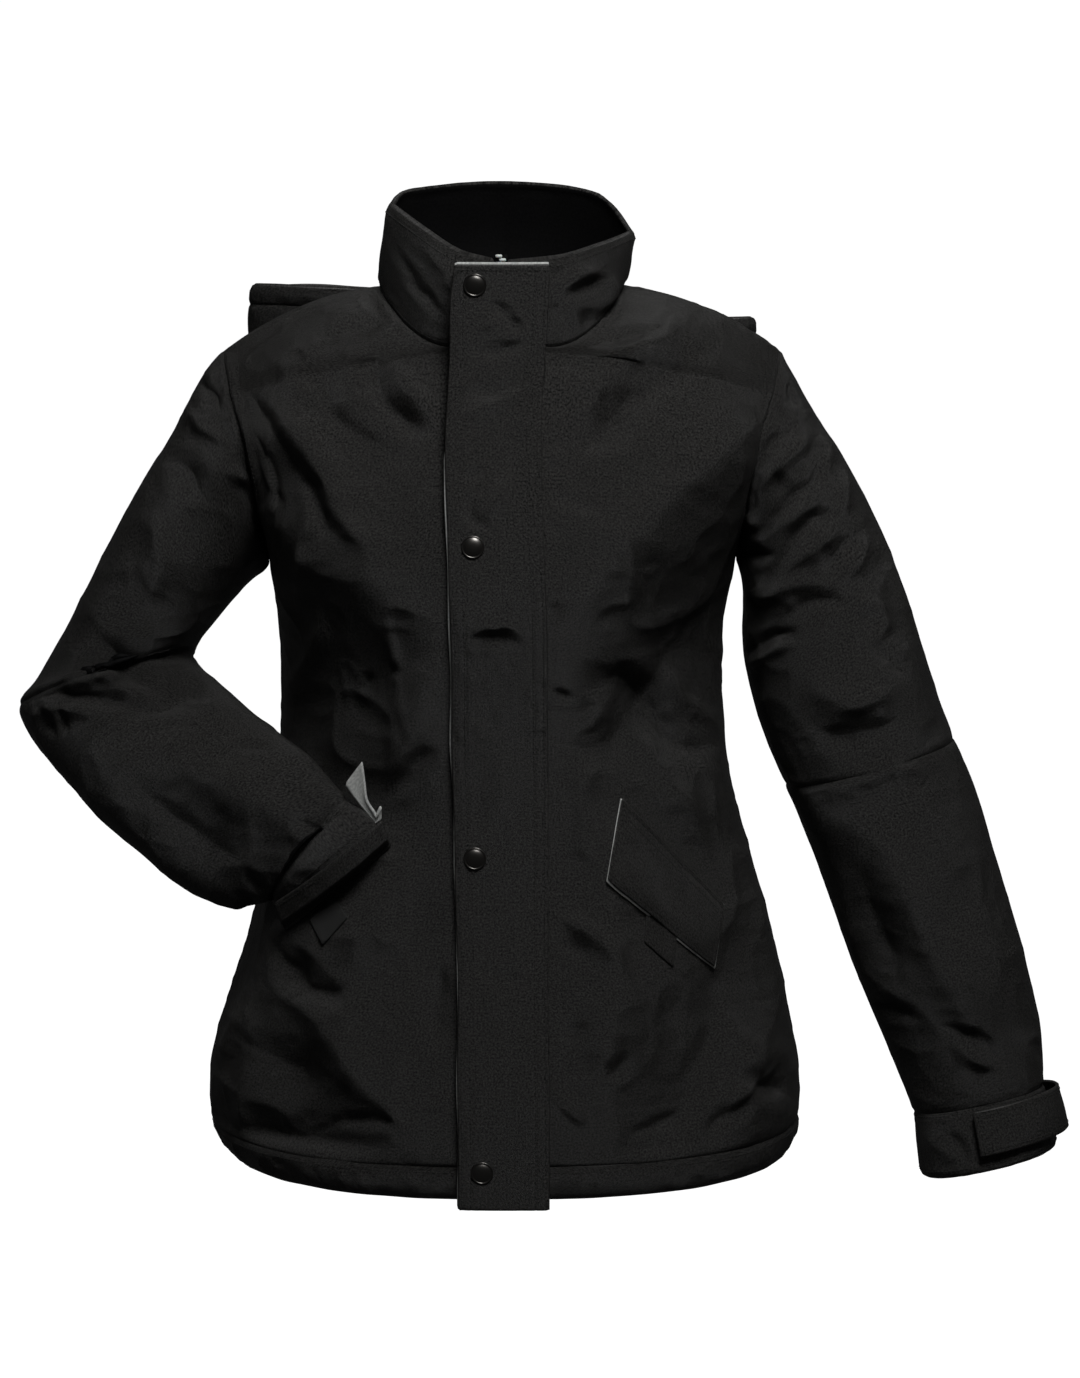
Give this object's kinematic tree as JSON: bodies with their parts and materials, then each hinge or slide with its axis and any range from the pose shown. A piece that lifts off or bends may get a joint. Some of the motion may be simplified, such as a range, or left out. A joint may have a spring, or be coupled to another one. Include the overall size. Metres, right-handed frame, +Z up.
{
  "type": "parka",
  "caption": "Hip-length black shell parka as worn: stand collar, hood at the back, snap storm flap over the zip, slanted front pockets, one sleeve bent into its pocket.",
  "frame": {"origin": "middle of the neck base, level with the high shoulder points, where the wearer's neck and shoulders hold the parka", "axes": "+Z up, the front faces -Y, +X to the wearer's left arm"},
  "size_m": [0.7587, 0.3144, 0.7087],
  "materials": {
    "shell_cloth": "fine woven synthetic shell with a soft sheen",
    "lining": "light grey coated backing",
    "hook_fabric": "rough hook tape",
    "zip_teeth": "moulded, slightly translucent",
    "metal": "dark nickel, polished dome"
  },
  "bodies": {
    "root": {"front_left": "shell_cloth", "front_right": "shell_cloth", "back": "shell_cloth", "hem_casing": "shell_cloth", "collar": "shell_cloth", "sleeve_left_upper": "shell_cloth", "sleeve_left_lower": "shell_cloth", "cuff_left": "shell_cloth", "sleeve_right_upper": "shell_cloth", "sleeve_right_upper_back": "shell_cloth", "sleeve_right_lower": "shell_cloth", "sleeve_right_lower_back": "shell_cloth", "cuff_right": "shell_cloth", "hood_edge": "shell_cloth", "hood_edge_inner": "shell_cloth", "hood": "shell_cloth", "hood_inner": "shell_cloth", "storm_flap": "shell_cloth", "zip_chain": "zip_teeth", "pocket_flap_left": "shell_cloth", "pocket_welt_right": "shell_cloth", "pocket_hook_patch_right": "hook_fabric", "pocket_flap_right": "lining", "cuff_tab_left": "shell_cloth", "zip_slider": "metal", "snap_1": "metal", "snap_2": "metal", "snap_3": "metal", "snap_4": "metal"}
  },
  "joints": []
}
